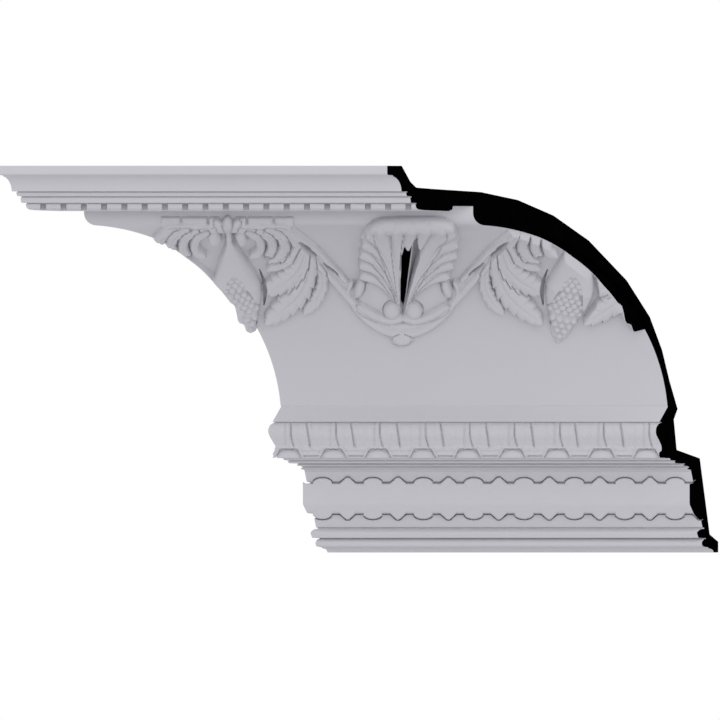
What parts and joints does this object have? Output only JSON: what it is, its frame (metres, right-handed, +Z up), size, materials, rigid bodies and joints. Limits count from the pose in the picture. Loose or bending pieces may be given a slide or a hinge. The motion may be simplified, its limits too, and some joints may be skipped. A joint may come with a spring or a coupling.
{
  "type": "crown moulding",
  "caption": "Large cove crown moulding cast in one piece, with a shell and grape-pod festoon, leaf torus, frieze band and dentils, mitred at both ends.",
  "frame": {"origin": "middle of the narrow flat that lies against the wall, halfway between the two mitres", "axes": "+X along the wall to the right as seen from the room, +Y into the wall, +Z up to the ceiling"},
  "size_m": [0.9346, 0.4316, 0.5014],
  "materials": {
    "casting": "high-density polyurethane casting with matte factory primer in pale lavender grey"
  },
  "bodies": {
    "root": {"crown_moulding": "casting"}
  },
  "joints": []
}
